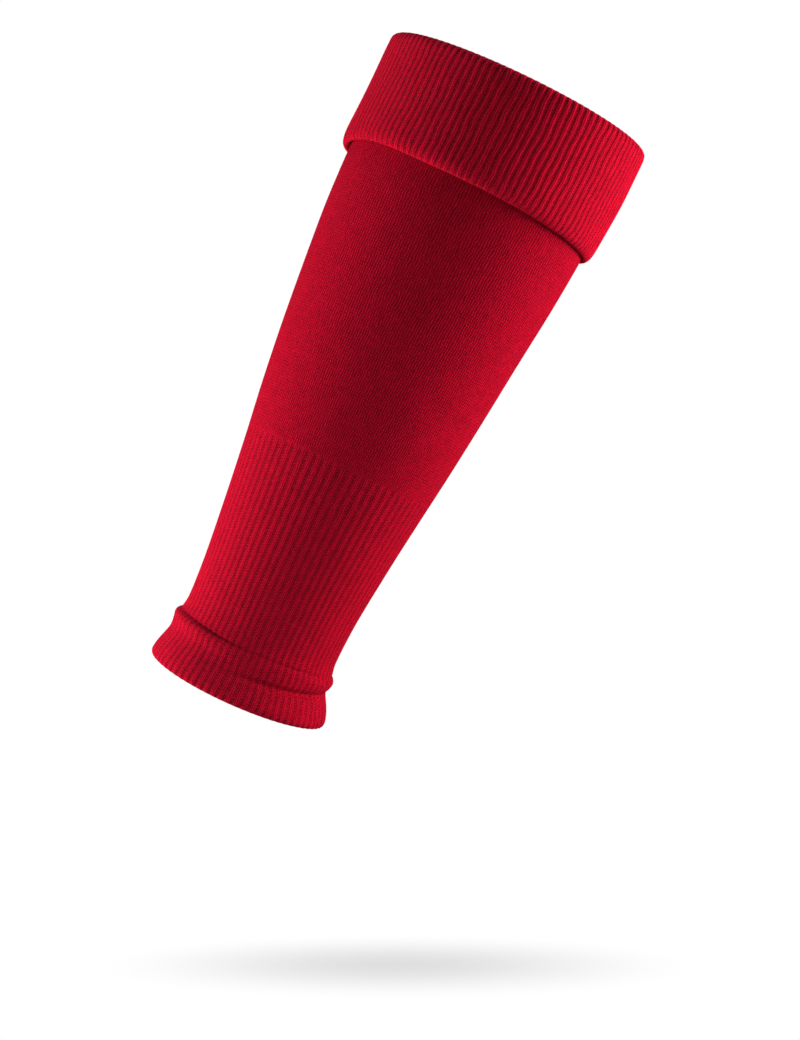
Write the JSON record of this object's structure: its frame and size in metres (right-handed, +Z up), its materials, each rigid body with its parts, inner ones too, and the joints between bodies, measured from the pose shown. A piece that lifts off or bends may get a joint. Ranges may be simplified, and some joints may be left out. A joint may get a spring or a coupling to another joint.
{
  "type": "footless football sock",
  "caption": "Knitted leg sleeve, open at both ends and tapering from calf to ankle, with a turned-over ribbed cuff and a flaring ribbed ankle end.",
  "frame": {"origin": "on the leg's axis at the middle of the turned-over cuff's height, where the calf holds the sock up", "axes": "+Z up; the leg's axis lies in the XZ plane and leans 25.6 degrees from +Z towards +X at the cuff end; -Y is the front"},
  "size_m": [0.219, 0.1082, 0.3082],
  "materials": {
    "cuff_rib": "matte red yarn in upright ribs, soft sheen",
    "plain_knit": "matte red yarn in plain jersey stitches, soft sheen",
    "leg_rib": "matte red yarn in narrow ribs with flat valleys"
  },
  "bodies": {
    "root": {"turnover_cuff": "cuff_rib", "upper_leg": "plain_knit", "lower_leg": "leg_rib", "ankle_cuff": "leg_rib"}
  },
  "joints": []
}
